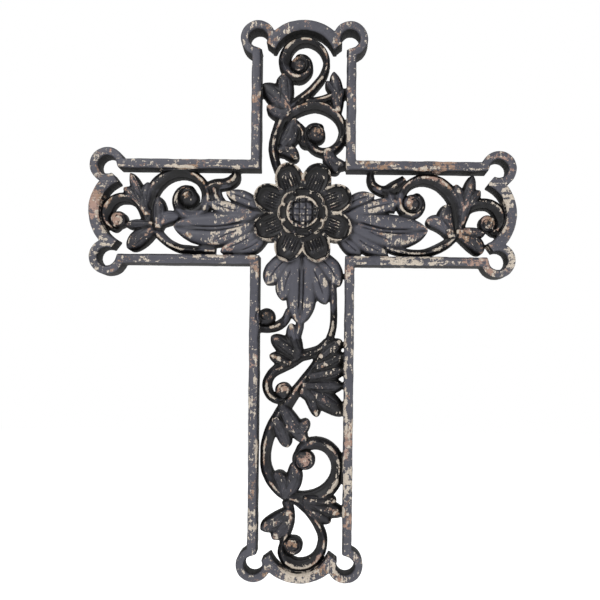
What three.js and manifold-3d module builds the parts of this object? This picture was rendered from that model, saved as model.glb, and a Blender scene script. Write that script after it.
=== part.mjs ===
// Carved wooden wall cross: a moulded frame with lobed ends around an openwork of scrolls, leaves
// and one large flower, all cut from a single board. Millimetres, +Z up, front towards -Y.
// The back is flat on y = 0 and the origin is on the back of the top crest, where the cross hangs.
import * as THREE from "three";
import { mergeVertices } from "three/addons/utils/BufferGeometryUtils.js";
import Module from "manifold-3d";

const wasm = await Module();
wasm.setup();

// Cross: distances from the flower's centre to the end of each arm
const topReach = 208;
const sideReach = 231.5;
const footReach = 401;

// Frame: one moulding of constant width around the arms
const armWidth = 113;
const railWidth = 10.2;
const frameDepth = 25;
const edgeChamfer = 2.2;

// Lobed ends: a curled lobe at each corner and a round crest between the two
const lobeRadius = 19;
const lobeBore = 9.8;
const lobeSpread = 49.7;
const lobeInset = 20;
const crestRadius = 50;
const crestBore = 33.6;
const crestWidth = 11;
const cuspInset = 31.6;
const cuspSpread = 32.5;

// Degrees round a lobe's bore at which the sides of its throat leave it
const throatEdge = { cusp: 210, rail: 285 };

// Heights of the carving above the flat back
const scrollRidge = 19;
const scrollShoulder = 14;
const leafCrown = 21;
const leafRib = 16.5;
const leafEdge = 14;
const knobHeight = 21;

// A knob's crown: how high its side stands, and how wide and how high its bevel ends, as shares
const knobCrown = { side: 0.72, bevelRadius: 0.72, bevelHeight: 0.93 };

// Volutes: degrees between neighbouring points, and for one that wraps round its knob its last reach
// in radii of the knob and how early it closes in
const voluteStep = 34;
const wrapReach = 1.75;
const wrapClosing = 0.7;

// Flower
const petalCount = 8;
const outerPetal = { from: 15, reach: 56, halfWidth: 15.4, rim: 28, cup: 20, steps: 4 };
const innerPetal = { from: 14, reach: 26.5, halfWidth: 9.8, rim: 27, cup: 22, steps: 3 };
const buttonRadius = 17.4;
const buttonRing = 2;
const buttonChamfer = 0.8;
const buttonHeight = 28.5;
const waffleHeight = 27.5;
const waffleGroove = 1.6;
const waffleDepth = 1.6;
const wafflePitch = 6.8;
const grooveShare = 0.9;

const windowHalf = armWidth / 2 - railWidth;

// Flat sides that stand for each round form
const sides = { lobe: 16, bore: 12, crest: 24, crestBore: 16, knob: 8, button: 16, waffle: 12 };

// The carving is drawn in hundredths of the window's half width, from the flower's centre, on a cross
// whose arms reach this far in the same units. Each arm's carving stretches with the arm.
const drawn = { top: 450, side: 500, foot: 866 };

function stretch(value, drawnReach, reach) {
  const inner = Math.min(Math.abs(value), 100);
  const outer = Math.abs(value) - inner;
  const run = (reach - windowHalf) / (drawnReach - 100);
  return Math.sign(value) * ((inner * windowHalf) / 100 + outer * run);
}

function spot(x, z) {
  const foot = z < 0;
  return new THREE.Vector3(
    stretch(x, drawn.side, sideReach),
    0,
    stretch(z, foot ? drawn.foot : drawn.top, foot ? footReach : topReach),
  );
}

// Solids

function solidOf(geometry) {
  geometry.deleteAttribute("normal");
  geometry.deleteAttribute("uv");
  const merged = mergeVertices(geometry, 1e-4);
  return new wasm.Manifold(
    new wasm.Mesh({
      numProp: 3,
      vertProperties: new Float32Array(merged.attributes.position.array),
      triVerts: new Uint32Array(merged.index.array),
    }),
  );
}

function unite(solids) {
  let level = solids;
  while (level.length > 1) {
    const next = [];
    for (let i = 0; i < level.length; i += 2)
      next.push(i + 1 < level.length ? level[i].add(level[i + 1]) : level[i]);
    level = next;
  }
  return level[0];
}

// A closed skin over rings of points that all hold the same number
function loft(rings) {
  const count = rings[0].length;
  const index = [];
  for (let r = 0; r + 1 < rings.length; r++)
    for (let i = 0; i < count; i++) {
      const a = r * count + i;
      const b = r * count + ((i + 1) % count);
      index.push(a, b, a + count, b, b + count, a + count);
    }
  const last = (rings.length - 1) * count;
  for (let i = 1; i + 1 < count; i++) {
    index.push(0, i + 1, i);
    index.push(last, last + i, last + i + 1);
  }
  const geometry = new THREE.BufferGeometry().setFromPoints(rings.flat());
  geometry.setIndex(index);
  return solidOf(geometry);
}

// A ring across a path: section points are [sideways, height above the back]
function across(point, tangent, section) {
  const side = new THREE.Vector3(-tangent.z, 0, tangent.x);
  return section.map(([s, h]) => point.clone().addScaledVector(side, s).setY(-h));
}

// Steps crowd towards the path's far end as crowding rises over 1
function sweep(path, steps, sectionAt, crowding = 1) {
  const rings = [];
  for (let i = 0; i <= steps; i++) {
    const t = 1 - (1 - i / steps) ** crowding;
    const tangent = path.getTangent(t).normalize();
    rings.push(across(path.getPoint(t), tangent, sectionAt(t)));
  }
  return loft(rings);
}

// Every piece starts a little behind the back, which is planed flat at the end, and a cutter also
// runs on a little past the front
const spare = 1;

// A level prism and a round boss from one height to another, with the front edge chamfered
function slab([x0, x1], [z0, z1], from, to, chamfer) {
  const ring = (inset, height) =>
    [
      [x0 + inset, z0 + inset],
      [x1 - inset, z0 + inset],
      [x1 - inset, z1 - inset],
      [x0 + inset, z1 - inset],
    ].map(([x, z]) => new THREE.Vector3(x, -height, z));
  return loft([ring(0, from), ring(0, to - Math.abs(chamfer)), ring(chamfer, to)]);
}

function boss([x, z], radius, from, to, chamfer, sideCount) {
  const profile = [
    [0, from],
    [radius, from],
    [radius, to - Math.abs(chamfer)],
    [radius - chamfer, to],
    [0, to],
  ].map(([r, h]) => new THREE.Vector2(r, h));
  const geometry = new THREE.LatheGeometry(profile, sideCount);
  geometry.rotateX(Math.PI).translate(x, 0, z);
  return solidOf(geometry);
}

const boardSlab = (xs, zs) => slab(xs, zs, -spare, frameDepth, edgeChamfer);
const boardBoss = (at, radius, sideCount) =>
  boss(at, radius, -spare, frameDepth, edgeChamfer, sideCount);
const flare = -edgeChamfer - spare;
const windowSlab = (xs, zs) => slab(xs, zs, -2 * spare, frameDepth + spare, flare);
const windowBoss = (at, radius, sideCount) =>
  boss(at, radius, -2 * spare, frameDepth + spare, flare, sideCount);

// Frame

// A place on an arm that points up, turned clockwise by quarter turns
function turned([x, z], quarters) {
  return quarters === 0 ? [x, z] : turned([z, -x], quarters - 1);
}

function armEnd(reach, quarters) {
  const body = [];
  const window = [];
  for (const side of [-1, 1]) {
    const lobe = turned([side * lobeSpread, reach - lobeInset], quarters);
    body.push(boardBoss(lobe, lobeRadius, sides.lobe));
    window.push(windowBoss(lobe, lobeBore, sides.bore));
    window.push(throat(side, reach, quarters));
  }
  const crest = turned([0, reach - crestRadius], quarters);
  const bore = turned([0, reach - crestWidth - crestBore], quarters);
  body.push(boardBoss(crest, crestRadius, sides.crest));
  window.push(windowBoss(bore, crestBore, sides.crestBore));
  return { body, window };
}

// The opening by which a lobe's bore runs into the window, between the cusp and the rail's end
function throat(side, reach, quarters) {
  const boreEdge = (degrees) => [
    lobeSpread + lobeBore * Math.cos(THREE.MathUtils.degToRad(degrees)),
    reach - lobeInset + lobeBore * Math.sin(THREE.MathUtils.degToRad(degrees)),
  ];
  const outline = [
    [cuspSpread, reach - cuspInset],
    boreEdge(throatEdge.cusp),
    boreEdge(throatEdge.rail),
    [windowHalf, reach - cuspInset],
  ].map(([x, z]) => turned([side * x, z], quarters));
  if (side > 0) outline.reverse();
  const ring = (height) => outline.map(([x, z]) => new THREE.Vector3(x, -height, z));
  return loft([ring(-2 * spare), ring(frameDepth + spare)]);
}

function frame() {
  const half = armWidth / 2;
  const body = [
    boardSlab([-half, half], [lobeInset - footReach, topReach - lobeInset]),
    boardSlab([lobeInset - sideReach, sideReach - lobeInset], [-half, half]),
  ];
  const window = [
    windowSlab([-windowHalf, windowHalf], [cuspInset - footReach, topReach - cuspInset]),
    windowSlab([cuspInset - sideReach, sideReach - cuspInset], [-windowHalf, windowHalf]),
  ];
  [topReach, sideReach, footReach, sideReach].forEach((reach, quarters) => {
    const end = armEnd(reach, quarters);
    body.push(...end.body);
    window.push(...end.window);
  });
  return unite(body).subtract(unite(window));
}

// Scrollwork

function blendOf(values, t) {
  const place = t * (values.length - 1);
  const i = Math.min(Math.floor(place), values.length - 2);
  const u = THREE.MathUtils.smoothstep(place - i, 0, 1);
  return values[i] + (values[i + 1] - values[i]) * u;
}

// Points along a volute that tightens from one radius to another about its centre
function volutePoints({ at, radius, start, turn, tighten }) {
  const steps = Math.round(Math.abs(turn) / voluteStep);
  const points = [];
  for (let i = 0; i <= steps; i++) {
    const t = i / steps;
    const r = radius[0] + (radius[1] - radius[0]) * t ** tighten;
    const angle = THREE.MathUtils.degToRad(start + turn * t);
    points.push([at[0] + r * Math.cos(angle), at[1] + r * Math.sin(angle)]);
  }
  return points;
}

// Points that go on from a volute's end round its knob, closing in on it
function wrapPoints([x, z], { at, radius, wrap }) {
  const reach = Math.hypot(x - at[0], z - at[1]);
  const angle = Math.atan2(z - at[1], x - at[0]);
  const steps = Math.round(Math.abs(wrap) / voluteStep);
  const points = [];
  for (let i = 1; i <= steps; i++) {
    const r = reach + (wrapReach * radius - reach) * (i / steps) ** wrapClosing;
    const around = angle + THREE.MathUtils.degToRad((wrap * i) / steps);
    points.push([at[0] + r * Math.cos(around), at[1] + r * Math.sin(around)]);
  }
  return points;
}

// A ridged ribbon along its lead points and its volute, which curls up into a round knob
function stem({ lead, volute, halfWidths, ridge = 0, knob }) {
  const marks = volute ? [...lead, ...volutePoints(volute)] : [...lead];
  if (knob?.wrap) marks.push(...wrapPoints(marks.at(-1), knob));
  const path = new THREE.CatmullRomCurve3(marks.map(([x, z]) => spot(x, z)), false, "centripetal");
  const solids = [sweep(path, marks.length - 1, (t) => ribbonSection(blendOf(halfWidths, t), ridge))];
  if (knob) {
    const neck = new THREE.LineCurve3(path.getPoint(1), spot(...knob.at));
    const neckHalfWidth = halfWidths.at(-1);
    solids.push(sweep(neck, 1, () => ribbonSection(neckHalfWidth, 0)));
    solids.push(knobAt(knob));
  }
  return solids;
}

function ribbonSection(halfWidth, ridge) {
  return [
    [halfWidth, -spare],
    [halfWidth, scrollShoulder],
    [ridge * halfWidth, scrollRidge],
    [-halfWidth, scrollShoulder],
    [-halfWidth, -spare],
  ];
}

function knobAt({ at, radius }) {
  const profile = [
    [0, -spare],
    [radius, -spare],
    [radius, knobCrown.side * knobHeight],
    [knobCrown.bevelRadius * radius, knobCrown.bevelHeight * knobHeight],
    [0, knobHeight],
  ].map(([r, h]) => new THREE.Vector2(r, h));
  const place = spot(...at);
  const geometry = new THREE.LatheGeometry(profile, sides.knob);
  geometry.rotateX(Math.PI).translate(place.x, 0, place.z);
  return solidOf(geometry);
}

const stems = [
  // top arm, great volute
  {
    lead: [[-44, 242], [-17, 267], [9, 287], [29, 308]],
    volute: { at: [-2, 358], radius: [54, 34], start: -29, turn: 280, tighten: 2.5 },
    halfWidths: [5.2, 4.2, 3.6, 7.2, 6.2, 5.4],
    ridge: -0.3,
    knob: { at: [-12, 352], radius: 8.6, wrap: 180 },
  },
  // top arm, second volute
  {
    lead: [[-47, 226], [-21, 244], [0, 253], [23, 258]],
    volute: { at: [40, 186], radius: [68, 29], start: 85, turn: -243, tighten: 0.83 },
    halfWidths: [5.8, 5.9, 5, 4.6, 5.8, 5.4],
    ridge: 0.3,
    knob: { at: [30, 188], radius: 9, wrap: -150 },
  },
  // top arm, trunk down to the flower
  {
    lead: [[-42, 246], [-60, 205], [-70, 168], [-71, 145], [-66, 121], [-57, 98], [-36, 62]],
    halfWidths: [6, 5.6, 5, 5],
  },
  // left arm, small volute at the end
  {
    lead: [[-362, -28], [-370, -19], [-379, 4], [-392, 23]],
    volute: { at: [-430, -15], radius: [52, 23], start: 70, turn: 156, tighten: 1.16 },
    halfWidths: [4.4, 4.6, 5.6, 7, 6.6],
    ridge: -0.3,
    knob: { at: [-434, -17], radius: 8.4 },
  },
  // left arm, great volute
  {
    lead: [[-206, -88], [-262, -86], [-290, -83], [-316, -71], [-340, -50], [-358, -20]],
    volute: { at: [-276, 26], radius: [93, 26], start: -165, turn: -300, tighten: 0.92 },
    halfWidths: [4.4, 4.8, 7.4, 5.4, 7, 6.8, 6],
    ridge: 0.3,
    knob: { at: [-268, 36], radius: 9.4, wrap: -160 },
  },
  // left arm, hook above the leaf
  {
    lead: [[-230, 58], [-208, 68], [-186, 70], [-168, 77], [-160, 90], [-162, 108]],
    halfWidths: [6, 6.4, 6.4, 3.6],
  },
  // right arm, small volute at the end
  {
    lead: [[370, -40], [379, -9], [388, 13]],
    volute: { at: [432, -24], radius: [56, 23], start: 116, turn: -140, tighten: 1.49 },
    halfWidths: [3.8, 4.8, 6, 7, 6.8],
    ridge: 0.3,
    knob: { at: [434, -18], radius: 8.6 },
  },
  // right arm, great volute
  {
    lead: [[198, -76], [226, -85], [257, -90], [287, -89], [315, -79], [340, -65], [359, -44]],
    volute: { at: [268, 19], radius: [107, 22], start: -22, turn: 242, tighten: 0.86 },
    halfWidths: [4.4, 4.6, 5.4, 7.6, 5, 6.4, 6.2, 5.8],
    ridge: -0.3,
    knob: { at: [258, 27], radius: 9.4, wrap: 160 },
  },
  // right arm, hook above the leaf
  {
    lead: [[240, 84], [218, 69], [197, 57], [176, 61], [162, 73], [158, 89], [160, 106]],
    halfWidths: [5.6, 7, 5, 4.6, 3.2],
  },
  // foot, hook beside the great leaf
  {
    lead: [[-30, -226], [-40, -250], [-58, -264], [-80, -269], [-100, -268]],
    halfWidths: [4, 5.2, 5.2],
    knob: { at: [-84, -243], radius: 9 },
  },
  // foot, main stem and great volute
  {
    lead: [
      [72, -160], [74, -203], [75, -238], [73, -268], [64, -298], [50, -326], [32, -357], [13, -385],
      [-10, -415], [-30, -443], [-49, -471], [-68, -504], [-79, -537], [-83, -570],
    ],
    volute: { at: [22, -585], radius: [103, 30], start: -169, turn: 312, tighten: 1.07 },
    halfWidths: [4, 4, 4.4, 5.2, 6.2, 7.4, 7, 5.8, 6.8, 8.4, 7.6, 7, 6.8, 6.6, 5.6],
    ridge: -0.25,
    knob: { at: [12, -580], radius: 10, wrap: 90 },
  },
  // foot, branch with a small volute
  {
    lead: [[60, -300], [41, -319], [17, -329], [-3, -334], [-22, -346]],
    volute: { at: [-46, -412], radius: [52, 23], start: 91, turn: 200, tighten: 0.62 },
    halfWidths: [4.4, 6.6, 7.4, 5, 5.2, 5.4],
    knob: { at: [-42, -415], radius: 8.4 },
  },
  // foot, link between the two lowest volutes
  {
    lead: [[-32, -676], [-24, -706], [-24, -732], [-32, -755], [-37, -778]],
    halfWidths: [5.4, 5, 5.4],
  },
  // foot, lowest volute
  {
    lead: [[-12, -672], [4, -686], [19, -699]],
    volute: { at: [-10, -783], radius: [75, 25], start: 50, turn: -243, tighten: 0.91 },
    halfWidths: [5, 5, 5, 6, 7, 6.4, 5.6],
    ridge: 0.3,
    knob: { at: [-15, -782], radius: 9.6 },
  },
  // short necks between the carving's parts
  { lead: [[5, 266], [41, 271], [72, 283]], halfWidths: [4, 4, 4.4] },
  { lead: [[-20, 214], [-4, 194], [0, 170], [16, 166]], halfWidths: [4.4, 5.4, 5.4, 5] },
  { lead: [[-4, -240], [-6, -268], [-14, -294]], halfWidths: [4.6, 4.2, 5] },
  { lead: [[-212, 60], [-203, 36], [-180, 6]], halfWidths: [6.4, 6.4, 6] },
  { lead: [[197, 60], [207, 36], [205, 8]], halfWidths: [6.4, 7, 6] },
  { lead: [[-360, 4], [-358, -26], [-346, -48]], halfWidths: [5.4, 5.4, 5] },
];

// Leaves

const tipCrowding = 1.7;
const crownSpread = 0.55;

// Half width along a blade, as a share of its widest: open at the base, round or pointed at the tip
function bladeShare(t, { base, widest, point }) {
  if (t < widest) return base + (1 - base) * Math.sin((Math.PI / 2) * (t / widest));
  const q = (t - widest) / (1 - widest);
  return Math.max((1 - q * q) ** point, 0.03);
}

// A leaf blade from base to tip: a broad one is crowned on both sides of a sunk rib, and a small one
// is ridged
function blade([from, bend, to], halfWidth, form) {
  const path = new THREE.CatmullRomCurve3([from, bend, to].map(([x, z]) => spot(x, z)));
  const section = (t) => {
    const w = halfWidth * bladeShare(t, form);
    const middle = [[crownSpread * w, leafCrown], [0, leafRib], [-crownSpread * w, leafCrown]];
    const front = form.ribbed ? middle : [[0, leafCrown]];
    return [[w, -spare], [w, leafEdge], ...front, [-w, leafEdge], [-w, -spare]];
  };
  return sweep(path, form.steps, section, tipCrowding);
}

const broad = { base: 0.55, widest: 0.55, point: 0.6, steps: 4, ribbed: true };
const bud = { base: 0.5, widest: 0.5, point: 0.42, steps: 4, ribbed: false };
const finger = { base: 0.6, widest: 0.5, point: 0.5, steps: 3, ribbed: false };

// Each leaf is a fan of blades: base, bend, tip, then the blade's half width
const leaves = [
  // top arm
  {
    form: bud,
    blades: [
      [[-36, 236], [-62, 274], [-96, 304], 11.5],
      [[-44, 250], [-46, 298], [-50, 329], 10],
      [[-34, 234], [-60, 240], [-88, 252], 8],
    ],
  },
  {
    form: bud,
    blades: [
      [[-50, 158], [-34, 180], [-20, 224], 9.5],
      [[-58, 146], [-38, 150], [-14, 127], 8.4],
    ],
  },
  {
    form: bud,
    blades: [
      [[80, 240], [77, 284], [69, 334], 7.8],
      [[78, 262], [86, 282], [98, 294], 5.4],
      [[76, 280], [62, 300], [51, 312], 4.6],
    ],
  },
  {
    form: bud,
    blades: [
      [[56, 152], [64, 124], [80, 96], 8.4],
      [[60, 134], [78, 120], [101, 114], 6],
    ],
  },
  // left arm
  {
    form: broad,
    blades: [
      [[-90, -12], [-195, -36], [-304, -33], 19],
      [[-123, -30], [-174, -50], [-224, -73], 9.5],
      [[-100, -44], [-146, -70], [-193, -92], 9],
      [[-86, -52], [-118, -78], [-164, -95], 8],
      [[-120, -2], [-178, 10], [-222, 24], 8.5],
      [[-95, 12], [-138, 34], [-181, 48], 8.5],
    ],
  },
  {
    form: bud,
    blades: [
      [[-366, -8], [-384, 37], [-406, 92], 7.4],
      [[-372, 12], [-396, 40], [-422, 56], 7.4],
      [[-372, 14], [-370, 44], [-364, 70], 7.4],
    ],
  },
  {
    form: bud,
    blades: [
      [[-352, -42], [-386, -62], [-412, -86], 10],
      [[-352, -28], [-386, -28], [-419, -30], 5.6],
    ],
  },
  {
    form: bud,
    blades: [
      [[-340, -38], [-338, -6], [-340, 37], 7.8],
      [[-334, -26], [-318, -12], [-292, -9], 7.6],
    ],
  },
  // right arm
  {
    form: broad,
    blades: [
      [[90, -12], [190, -38], [294, -37], 19],
      [[110, -2], [176, 18], [226, 30], 9],
      [[90, 10], [130, 34], [168, 44], 8.5],
      [[128, -28], [175, -50], [228, -70], 9.5],
      [[104, -42], [152, -74], [202, -98], 9],
      [[84, -50], [112, -76], [137, -96], 8.5],
    ],
  },
  {
    form: bud,
    blades: [
      [[372, -20], [388, 47], [398, 93], 7.6],
      [[376, 8], [368, 44], [358, 72], 7.2],
      [[376, 10], [398, 40], [416, 58], 7],
    ],
  },
  {
    form: bud,
    blades: [
      [[368, -46], [404, -66], [422, -90], 9.4],
      [[360, -40], [396, -42], [429, -40], 7],
    ],
  },
  {
    form: bud,
    blades: [
      [[350, -52], [334, -14], [340, 25], 9.4],
      [[346, -44], [320, -18], [290, -14], 8.4],
    ],
  },
  // foot, great leaf under the flower
  {
    form: broad,
    blades: [
      [[-1, -80], [-2, -180], [-5, -259], 17],
      [[-12, -100], [-36, -158], [-48, -203], 11.5],
      [[-22, -90], [-60, -130], [-86, -166], 12],
      [[10, -100], [38, -158], [56, -211], 12],
      [[20, -90], [62, -124], [88, -168], 11.5],
    ],
  },
  // foot, leaf on the branch
  {
    form: finger,
    blades: [
      [[-4, -340], [-36, -314], [-72, -288], 10.5],
      [[-6, -330], [-18, -298], [-26, -258], 8.5],
      [[-24, -352], [-52, -342], [-76, -332], 7],
    ],
  },
  // foot, feathered leaf towards the right rail
  {
    form: finger,
    blades: [
      [[44, -338], [72, -316], [94, -296], 9],
      [[34, -362], [70, -346], [103, -330], 9.5],
      [[18, -384], [62, -374], [105, -364], 10],
      [[4, -404], [52, -404], [100, -404], 10],
      [[0, -414], [54, -436], [102, -472], 12],
      [[8, -408], [28, -440], [38, -478], 8],
    ],
  },
  // foot, leaf inside the main stem's bend
  {
    form: bud,
    blades: [
      [[-46, -450], [-16, -500], [12, -536], 9.5],
      [[-34, -500], [-4, -508], [17, -484], 8.4],
      [[-62, -480], [-42, -516], [-30, -550], 8.6],
    ],
  },
  {
    form: bud,
    blades: [
      [[-40, -668], [-16, -630], [-14, -586], 9.4],
      [[-36, -660], [-44, -628], [-60, -608], 8],
    ],
  },
  // foot, leaf and fan beside the lowest volute
  {
    form: bud,
    blades: [
      [[-20, -698], [-56, -726], [-92, -742], 9.6],
      [[-22, -708], [-44, -742], [-64, -766], 9],
    ],
  },
  {
    form: finger,
    blades: [
      [[8, -672], [50, -676], [86, -674], 8],
      [[8, -676], [56, -692], [105, -706], 9.6],
      [[10, -682], [42, -706], [72, -726], 9],
    ],
  },
];

function leaf({ form, blades }) {
  return blades.map(([from, bend, to, halfWidth]) => blade([from, bend, to], halfWidth, form));
}

// Flower

const petalOutline = { base: 0.4, widest: 0.58, point: 0.5 };
const lipShare = 0.25;

// A cupped petal that points away from the flower's centre
function petal(degrees, { from, reach, halfWidth, rim, cup, steps }) {
  const angle = THREE.MathUtils.degToRad(degrees);
  const out = new THREE.Vector3(Math.sin(angle), 0, Math.cos(angle));
  const path = new THREE.LineCurve3(out.clone().multiplyScalar(from), out.clone().multiplyScalar(reach));
  const section = (t) => {
    const w = halfWidth * bladeShare(t, petalOutline);
    const dip = (rim - cup) * Math.min(1, (1 - t) / lipShare);
    return [[w, -spare], [w, rim], [0, rim - dip], [-w, rim], [-w, -spare]];
  };
  return sweep(path, steps, section, tipCrowding);
}

function flower() {
  const petals = [];
  const between = 360 / petalCount;
  for (let i = 0; i < petalCount; i++) {
    petals.push(petal(between * (i + 0.5), outerPetal));
    petals.push(petal(between * i, innerPetal));
  }
  const button = boss([0, 0], buttonRadius, -spare, buttonHeight, buttonChamfer, sides.button);
  return unite([...petals, button]).subtract(buttonCuts());
}

// The button's face: sunk inside its ring, then a waffle of crossing grooves
function buttonCuts() {
  const inside = buttonRadius - buttonRing;
  const top = buttonHeight + spare;
  const cuts = [boss([0, 0], inside, waffleHeight, top, 0, sides.waffle)];
  const lines = Math.floor((2 * inside) / wafflePitch);
  for (let i = 0; i < lines; i++) {
    const at = (i - (lines - 1) / 2) * wafflePitch;
    const half = grooveShare * Math.sqrt(inside ** 2 - at ** 2);
    const width = [at - waffleGroove / 2, at + waffleGroove / 2];
    cuts.push(slab(width, [-half, half], waffleHeight - waffleDepth, top, 0));
    cuts.push(slab([-half, half], width, waffleHeight - waffleDepth, top, 0));
  }
  return unite(cuts);
}

// The whole cross as one carved piece, its back planed flat

function carvedCross() {
  const carving = unite([frame(), flower(), ...stems.flatMap(stem), ...leaves.flatMap(leaf)]);
  const behind = 2 * (sideReach + footReach);
  const plane = slab([-behind, behind], [-behind, behind], -4 * spare, 0, 0);
  const whole = carving.subtract(plane).getMesh();
  const geometry = new THREE.BufferGeometry();
  geometry.setAttribute("position", new THREE.BufferAttribute(whole.vertProperties, 3));
  geometry.setIndex(new THREE.BufferAttribute(whole.triVerts, 1));
  const mountHeight = topReach - crestWidth / 2;
  geometry.translate(0, 0, -mountHeight);
  geometry.computeVertexNormals();
  return geometry;
}

function distressedPaint() {
  return new THREE.MeshStandardMaterial({ color: "#3b3a3e", roughness: 0.62, metalness: 0 });
}

const cross = new THREE.Group();
const mesh = new THREE.Mesh(carvedCross(), distressedPaint());
mesh.name = "carved_cross";
cross.add(mesh);

export default cross;
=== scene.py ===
# Carved wooden wall cross: an openwork of scrolls, leaves and a flower inside a lobed moulding,
# painted charcoal over cream and rubbed back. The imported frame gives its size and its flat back.
import math
import bpy
import numpy as np
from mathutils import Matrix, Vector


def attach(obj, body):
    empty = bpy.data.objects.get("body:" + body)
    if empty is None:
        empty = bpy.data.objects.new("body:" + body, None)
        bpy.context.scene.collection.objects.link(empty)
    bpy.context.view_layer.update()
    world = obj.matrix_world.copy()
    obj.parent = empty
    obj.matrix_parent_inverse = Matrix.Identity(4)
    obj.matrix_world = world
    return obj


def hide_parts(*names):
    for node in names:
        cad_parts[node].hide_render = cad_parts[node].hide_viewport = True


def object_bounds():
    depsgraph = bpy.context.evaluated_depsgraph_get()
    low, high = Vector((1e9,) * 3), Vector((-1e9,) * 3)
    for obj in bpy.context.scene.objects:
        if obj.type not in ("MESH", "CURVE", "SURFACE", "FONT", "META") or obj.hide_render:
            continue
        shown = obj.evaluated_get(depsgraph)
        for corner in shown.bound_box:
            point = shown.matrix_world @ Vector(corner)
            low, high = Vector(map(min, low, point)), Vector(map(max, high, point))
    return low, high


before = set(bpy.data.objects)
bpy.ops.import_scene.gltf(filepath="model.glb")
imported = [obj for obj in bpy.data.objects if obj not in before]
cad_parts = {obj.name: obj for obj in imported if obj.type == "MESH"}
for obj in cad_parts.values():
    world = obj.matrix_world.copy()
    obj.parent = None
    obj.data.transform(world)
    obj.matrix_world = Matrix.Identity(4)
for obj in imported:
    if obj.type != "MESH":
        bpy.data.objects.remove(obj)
cadLow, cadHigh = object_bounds()
mm = 0.001

# the board that it is carved from, in millimetres, as in the part's source
board = {
    "topReach": 208, "sideReach": 231.5, "footReach": 401, "mountHeight": 202.5,
    "armWidth": 113, "railWidth": 10.2, "depth": 25, "edgeChamfer": 2.2,
    "lobeRadius": 19, "lobeBore": 9.8, "lobeSpread": 49.7, "lobeInset": 20,
    "crestRadius": 50, "crestBore": 33.6, "crestWidth": 11, "cuspInset": 31.6, "cuspSpread": 32.5,
    "throatEdge": (210, 285),  # degrees round a lobe's bore at which the sides of its throat leave it
}
windowHalf = board["armWidth"] / 2 - board["railWidth"]


# Camera and lights

shot = {
    "lens": 50, "distance": 0.9222, "stand": (0.0335, -0.367),  # beside and below the flower
    "shift": (-0.0536, 0.1086), "lean": -0.6,  # degrees by which the cross hangs askew in the picture
}
studio = {
    "key": {"at": (-0.75, -1.35, 0.75), "size": 0.9, "watts": 18},
    "fill": {"at": (1.1, -1.2, -0.5), "size": 1.1, "watts": 6},
    "rear": {"at": (0.3, 1.6, 0.4), "size": 1.4, "watts": 8},
    "skyLight": 0.4, "floorDrop": 0.16, "floorGlow": 0.62,
}


def deselectAll():
    bpy.ops.object.select_all(action="DESELECT")


def pickOnly(piece):
    deselectAll()
    piece.select_set(True)
    bpy.context.view_layer.objects.active = piece


def setUpCamera():
    x, z = shot["stand"]
    deselectAll()
    bpy.ops.object.camera_add(
        location=(x, -shot["distance"], z), rotation=(math.pi / 2, math.radians(shot["lean"]), 0)
    )
    camera = bpy.context.object
    camera.data.lens = shot["lens"]
    camera.data.shift_x, camera.data.shift_y = shot["shift"]
    bpy.context.scene.camera = camera


def setUpLights():
    middle = (cadLow + cadHigh) / 2
    for name in ("key", "fill", "rear"):
        lamp = studio[name]
        deselectAll()
        bpy.ops.object.light_add(type="AREA", location=lamp["at"])
        light = bpy.context.object
        light.name = name + "Light"
        light.data.energy = lamp["watts"]
        light.data.size = lamp["size"]
        light.rotation_euler = (middle - light.location).to_track_quat("-Z", "Y").to_euler()


# Node and colour helpers

def paintTone(code):
    # sRGB hex to linear, as the shader reads colours
    channels = [int(code[i:i + 2], 16) / 255 for i in (1, 3, 5)]
    return tuple(c / 12.92 if c <= 0.04045 else ((c + 0.055) / 1.055) ** 2.4 for c in channels) + (1,)


def addNode(tree, kind, inputs=None, output=0, **settings):
    # inputs are fixed values or other nodes' sockets; gives back the socket that others read
    node = tree.nodes.new("ShaderNode" + kind)
    for name, value in settings.items():
        setattr(node, name, value)
    for name, value in (inputs or {}).items():
        if isinstance(value, bpy.types.NodeSocket):
            tree.links.new(value, node.inputs[name])
        else:
            node.inputs[name].default_value = value
    return node.outputs[output] if node.outputs else None


def setUpSky():
    # white behind the cross, and a softer white that lights it
    world = bpy.data.worlds.new("whiteStudio")
    bpy.context.scene.world = world
    world.use_nodes = True
    tree = world.node_tree
    tree.nodes.clear()
    seen = addNode(tree, "LightPath", output="Is Camera Ray")
    glow = addNode(tree, "MapRange", {"Value": seen, "To Min": studio["skyLight"], "To Max": 1})
    white = addNode(tree, "Background", {"Color": (1, 1, 1, 1), "Strength": glow})
    addNode(tree, "OutputWorld", {"Surface": white})


setUpCamera()
setUpLights()
setUpSky()
bpy.context.scene.view_settings.view_transform = "Standard"
print("camera and lights ready")


# Shaping helpers

def finishPlace(piece):
    pickOnly(piece)
    bpy.ops.object.transform_apply(location=True, rotation=True, scale=True)


def applyModifier(piece, kind, **settings):
    pickOnly(piece)
    modifier = piece.modifiers.new(kind.title(), kind)
    for name, value in settings.items():
        setattr(modifier, name, value)
    bpy.ops.object.modifier_apply(modifier=modifier.name)


def pickFront(piece):
    # into edit mode with the faces that look out of the carving selected
    mesh = piece.data
    bpy.ops.object.mode_set(mode="EDIT")
    bpy.ops.mesh.select_mode(type="FACE")
    bpy.ops.mesh.select_all(action="DESELECT")
    bpy.ops.object.mode_set(mode="OBJECT")
    for face in mesh.polygons:
        face.select = face.normal.y < -0.9
    bpy.ops.object.mode_set(mode="EDIT")


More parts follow.
